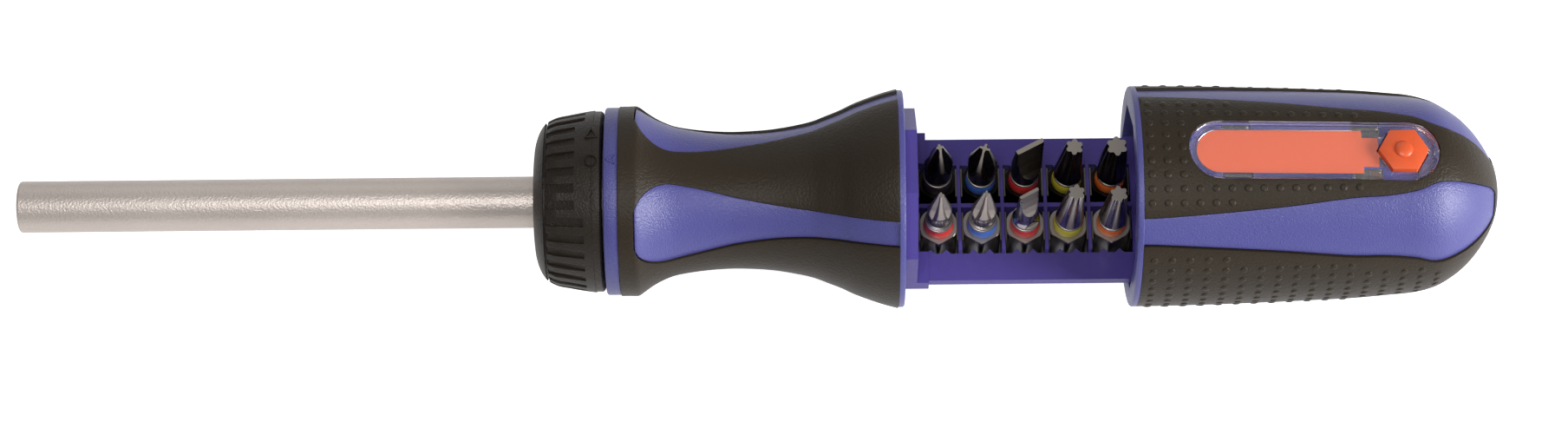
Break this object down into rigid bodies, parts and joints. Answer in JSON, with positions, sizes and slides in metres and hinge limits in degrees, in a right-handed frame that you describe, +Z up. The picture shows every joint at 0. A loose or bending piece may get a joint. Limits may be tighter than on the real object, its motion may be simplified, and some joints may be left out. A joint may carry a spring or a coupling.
{
  "type": "ratcheting screwdriver",
  "caption": "Ratcheting screwdriver with a hexagon bit tube, a reversing collar, a waisted grip and a sliding cap over a rack of bits.",
  "frame": {"origin": "centre of the bit tube's open end, on the tool's axis", "axes": "+X along the tool from the bit end to the cap, +Z up through the label window and the bit tips, +Y across"},
  "size_m": [0.2588, 0.0386, 0.0386],
  "materials": {
    "blue_plastic": "satin moulded blue violet",
    "grip_rubber": "soft matte black rubber",
    "rack_plastic": "satin moulded dark violet",
    "spring_steel": "plain bright steel",
    "bit_steel": "ground steel",
    "black_bit_steel": "blackened steel with bright ground tips",
    "red_band": "smooth",
    "blue_band": "smooth",
    "yellow_band": "smooth",
    "orange_band": "smooth",
    "black_band": "smooth",
    "cast_metal": "as cast",
    "dark_steel": "hardened, dark",
    "bush_bronze": "turned",
    "tube_steel": "satin",
    "collar_plastic": "dark satin",
    "clear_plastic": "clear polished plastic",
    "orange_plastic": "smooth orange"
  },
  "bodies": {
    "handle": {"handle_core": "blue_plastic", "front_grip": "grip_rubber", "bit_rack": "rack_plastic", "bit_clips": "spring_steel", "front_bit_1": "bit_steel", "front_bit_2": "bit_steel", "front_bit_3": "bit_steel", "front_bit_4": "bit_steel", "front_bit_5": "bit_steel", "back_bit_1": "black_bit_steel", "back_bit_2": "black_bit_steel", "back_bit_3": "black_bit_steel", "back_bit_4": "black_bit_steel", "back_bit_5": "black_bit_steel", "red_bit_bands": "red_band", "blue_bit_bands": "blue_band", "yellow_bit_bands": "yellow_band", "orange_bit_bands": "orange_band", "black_bit_band": "black_band", "ratchet_housing": "cast_metal", "housing_cover": "spring_steel", "cover_screws": "dark_steel", "pawl_pins": "spring_steel", "pawl_springs": "spring_steel", "spindle_bush": "bush_bronze", "collar_ring": "spring_steel", "detent_ball": "spring_steel", "detent_spring": "spring_steel"},
    "spindle": {"bit_tube": "tube_steel", "socket_magnet": "dark_steel", "ratchet_gear": "dark_steel", "thrust_washer": "spring_steel", "spindle_circlip": "dark_steel"},
    "selector": {"selector_collar": "collar_plastic"},
    "forward_pawl": {"forward_pawl": "dark_steel"},
    "reverse_pawl": {"reverse_pawl": "dark_steel"},
    "cap": {"cap_shell": "blue_plastic", "cap_grip": "grip_rubber", "label_cover": "clear_plastic", "label_strip": "orange_plastic", "release_spring": "spring_steel"},
    "release_button": {"release_button": "orange_plastic"}
  },
  "joints": [
    {"name": "spindle_turn", "type": "hinge", "parent": "handle", "child": "spindle", "pos_m": [0.1, 0, 0], "axis": [1, 0, 0], "continuous": true},
    {"name": "selector_turn", "type": "hinge", "parent": "handle", "child": "selector", "pos_m": [0.096, 0, 0], "axis": [1, 0, 0], "range_deg": [-21, 21]},
    {"name": "forward_pawl_swing", "type": "hinge", "parent": "handle", "child": "forward_pawl", "pos_m": [0.0961, 0.005, 0.0068], "axis": [1, 0, 0], "range_deg": [-7.5, 7.5]},
    {"name": "reverse_pawl_swing", "type": "hinge", "parent": "handle", "child": "reverse_pawl", "pos_m": [0.0961, -0.005, 0.0068], "axis": [1, 0, 0], "range_deg": [-7.5, 7.5]},
    {"name": "cap_slide", "type": "slide", "parent": "handle", "child": "cap", "axis": [1, 0, 0], "range_m": [-0.0392, 0]},
    {"name": "release_press", "type": "slide", "parent": "cap", "child": "release_button", "axis": [0, 0, -1], "range_m": [0, 0.0012], "stiffness_N_per_m": 400, "deforming": ["release_spring"]}
  ],
  "couplings": [
    {"joint": "forward_pawl_swing", "follows": "selector_turn", "ratio": 0.35},
    {"joint": "reverse_pawl_swing", "follows": "selector_turn", "ratio": 0.35}
  ]
}
